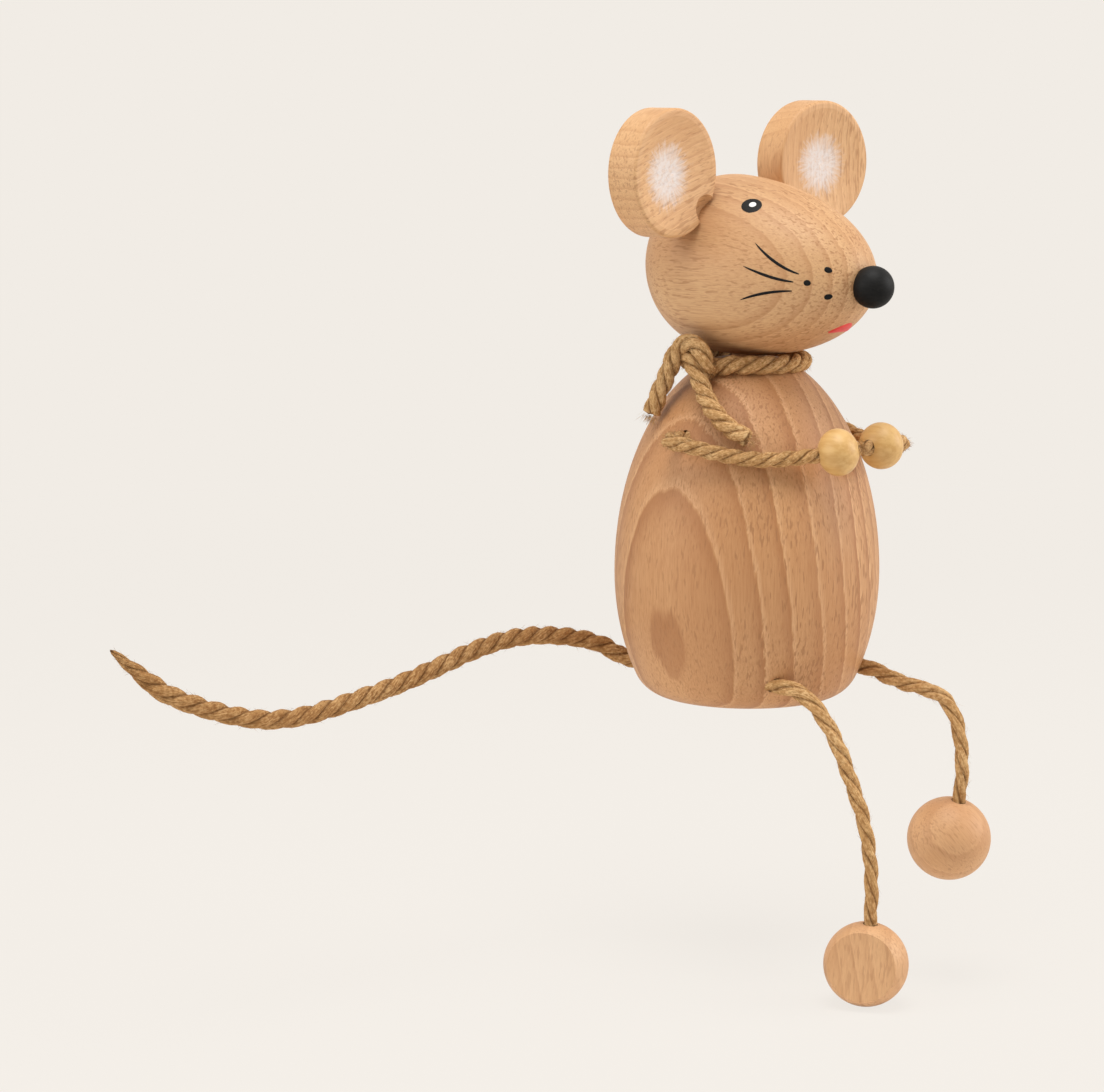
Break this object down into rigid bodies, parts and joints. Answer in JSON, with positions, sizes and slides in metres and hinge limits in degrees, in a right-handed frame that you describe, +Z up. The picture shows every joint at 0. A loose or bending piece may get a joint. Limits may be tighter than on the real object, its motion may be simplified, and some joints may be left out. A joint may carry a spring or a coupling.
{
  "type": "mouse figurine",
  "caption": "Seated wooden mouse with a turned body and head, dished ears, jute cord limbs with bead hands and ball feet, a jute scarf and a long tail; it sits on a shelf edge.",
  "frame": {"origin": "middle of the flat seat under the body", "axes": "+Z up, -Y the way the mouse looks, +X its left"},
  "size_m": [0.1948, 0.1219, 0.2097],
  "materials": {
    "beech_body": "satin oiled beech",
    "beech_head": "satin oiled beech",
    "beech_ear": "satin oiled beech, white dry-brushed inside",
    "beech_foot": "satin oiled beech",
    "pale_bead": "smooth pale wood",
    "black_lacquer": "satin black paint",
    "dowel_wood": "raw dowel",
    "jute": "twisted jute cord"
  },
  "bodies": {
    "trunk": {"body": "beech_body", "neck_dowel": "dowel_wood", "scarf_loop": "jute", "scarf_knot": "jute", "scarf_short_end": "jute", "scarf_long_end": "jute", "left_leg_root": "jute", "right_leg_root": "jute", "left_arm_root": "jute", "right_arm_root": "jute", "tail_root": "jute"},
    "head": {"head": "beech_head", "nose": "black_lacquer", "left_ear": "beech_ear", "right_ear": "beech_ear", "left_ear_dowel": "dowel_wood", "right_ear_dowel": "dowel_wood"},
    "left_leg": {"left_leg": "jute", "left_foot": "beech_foot"},
    "right_leg": {"right_leg": "jute", "right_foot": "beech_foot"},
    "left_arm": {"left_arm": "jute"},
    "right_arm": {"right_arm": "jute"},
    "left_hand": {"left_hand": "pale_bead"},
    "right_hand": {"right_hand": "pale_bead"},
    "tail": {"tail": "jute"}
  },
  "joints": [
    {"name": "head_swivel", "type": "hinge", "parent": "trunk", "child": "head", "pos_m": [0, 0, 0.0824], "axis": [0, 0, 1], "range_deg": [-30, 30]},
    {"name": "left_leg_swing", "type": "hinge", "parent": "trunk", "child": "left_leg", "pos_m": [0.0167, -0.02508, 0.0072], "axis": [-1, 0, 0], "range_deg": [-10, 50]},
    {"name": "right_leg_swing", "type": "hinge", "parent": "trunk", "child": "right_leg", "pos_m": [-0.0167, -0.02508, 0.0072], "axis": [-1, 0, 0], "range_deg": [-10, 50]},
    {"name": "left_arm_open", "type": "hinge", "parent": "trunk", "child": "left_arm", "pos_m": [0.03004, 0, 0.065], "axis": [0, 0, 1], "range_deg": [0, 60]},
    {"name": "right_arm_open", "type": "hinge", "parent": "trunk", "child": "right_arm", "pos_m": [-0.03004, 0, 0.065], "axis": [0, 0, -1], "range_deg": [0, 60]},
    {"name": "left_hand_turn", "type": "hinge", "parent": "left_arm", "child": "left_hand", "pos_m": [0.00851, -0.0335, 0.0629], "axis": [-0.9959, 0.0868, -0.0248], "continuous": true},
    {"name": "right_hand_turn", "type": "hinge", "parent": "right_arm", "child": "right_hand", "pos_m": [-0.00851, -0.0335, 0.0629], "axis": [0.6722, -0.7276, 0.1369], "continuous": true},
    {"name": "tail_sweep", "type": "hinge", "parent": "trunk", "child": "tail", "pos_m": [0, 0.03015, 0.006], "axis": [0, 0, -1], "range_deg": [-3, 100]}
  ]
}
